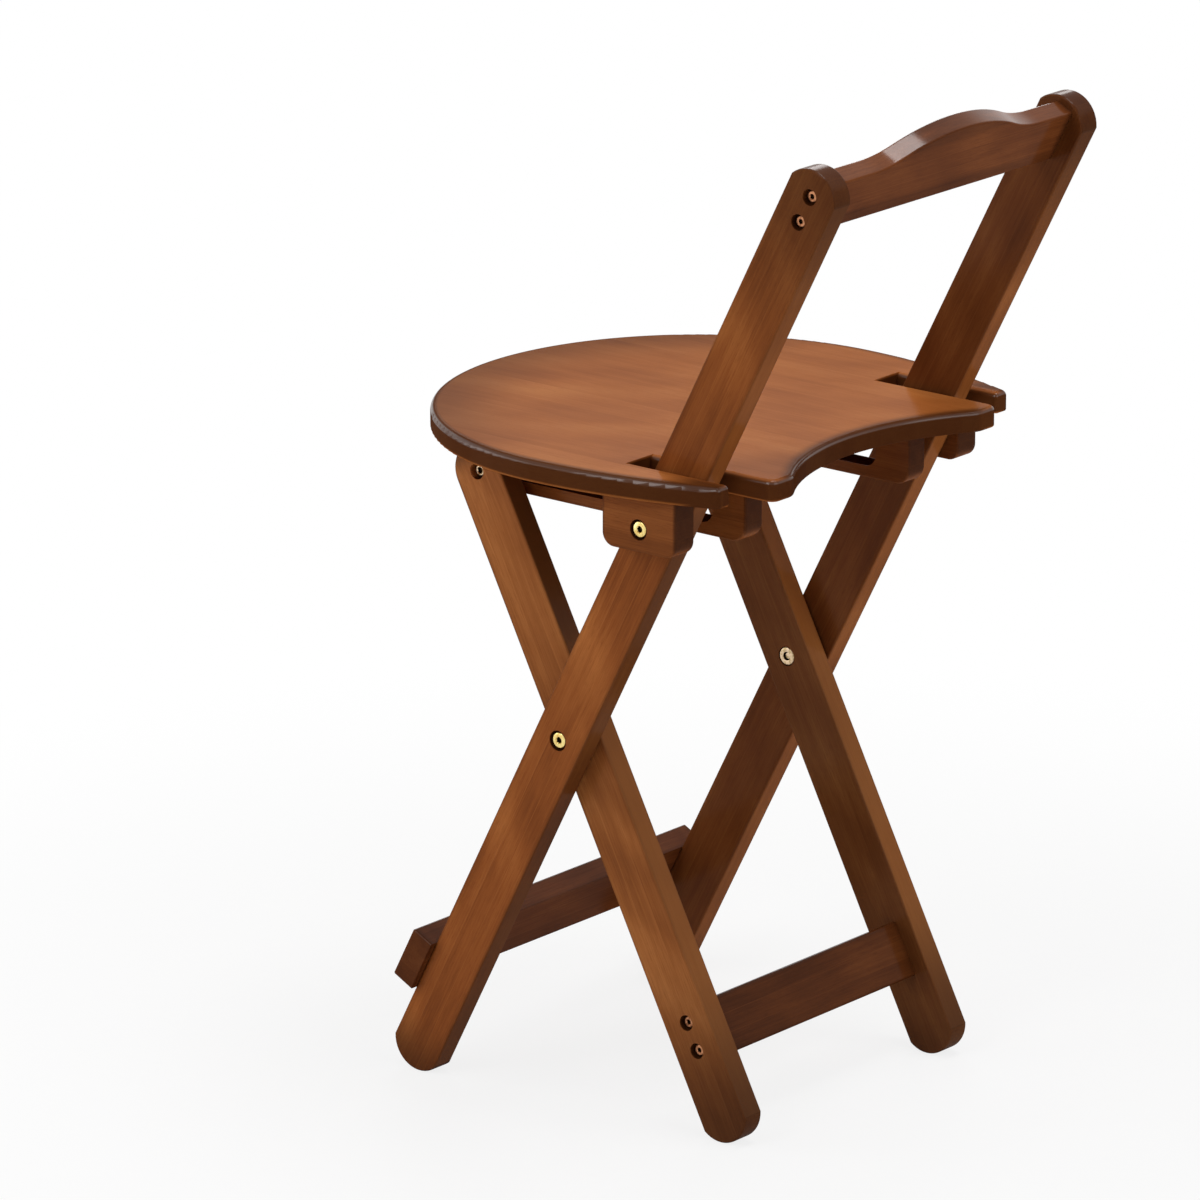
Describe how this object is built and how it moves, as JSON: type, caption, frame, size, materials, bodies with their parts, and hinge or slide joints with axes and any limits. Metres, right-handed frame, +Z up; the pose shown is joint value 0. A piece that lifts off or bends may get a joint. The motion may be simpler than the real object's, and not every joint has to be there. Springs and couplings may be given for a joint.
{
  "type": "folding stool with low back",
  "caption": "Folding wooden stool: a round seat on crossed legs, long back posts through notches in the seat, a camel-backed top rail and sliding pivots.",
  "frame": {"origin": "on the floor under the middle of the whole stool's footprint, as it stands open", "axes": "+Z up, -Y to the front edge of the seat, +Y to the back, +X to the sitter's left side; the stool mirrors across X = 0"},
  "size_m": [0.372, 0.41, 0.7095],
  "materials": {
    "seat_wood": "semi-gloss walnut lacquer over laminated bamboo or beech",
    "stained_wood": "semi-gloss dark walnut lacquer, with darker edges",
    "dowel_wood": "bare",
    "brass": "bright plated",
    "steel": "zinc plated",
    "nylon": "moulded, dark brown"
  },
  "bodies": {
    "long_frame": {"long_leg_right": "stained_wood", "long_leg_left": "stained_wood", "top_rail": "stained_wood", "top_rail_screws": "brass", "front_stretcher": "stained_wood", "front_stretcher_screws": "brass", "pivot_bolts": "brass", "pivot_sleeves": "brass", "pivot_washers": "nylon", "crossing_bolts": "brass", "crossing_washers": "nylon"},
    "seat": {"seat_panel": "seat_wood", "inner_rail_right": "stained_wood", "inner_rail_left": "stained_wood", "outer_block_right": "stained_wood", "outer_block_left": "stained_wood", "rail_screws": "steel", "rail_dowels": "dowel_wood", "block_screws": "steel"},
    "sliding_pivots": {"slide_bolts": "brass", "slide_rollers": "nylon", "slide_washers": "steel", "slide_nuts": "steel"},
    "short_frame": {"short_leg_right": "stained_wood", "short_leg_left": "stained_wood", "rear_stretcher": "stained_wood", "rear_stretcher_screws": "brass", "crossing_sleeves": "brass"}
  },
  "joints": [
    {"name": "seat_fold", "type": "hinge", "parent": "long_frame", "child": "seat", "pos_m": [0, 0.05951, 0.4365], "axis": [1, 0, 0], "range_deg": [0, 62.76]},
    {"name": "pivot_slide", "type": "slide", "parent": "seat", "child": "sliding_pivots", "axis": [0, 1, 0], "range_m": [0, 0.175]},
    {"name": "leg_fold", "type": "hinge", "parent": "sliding_pivots", "child": "short_frame", "pos_m": [0, -0.11549, 0.4365], "axis": [1, 0, 0], "range_deg": [-117.24, 0]}
  ],
  "couplings": [
    {"joint": "pivot_slide", "follows": "seat_fold", "m_per_rad": 0.15975},
    {"joint": "leg_fold", "follows": "seat_fold", "ratio": -1.8678}
  ]
}
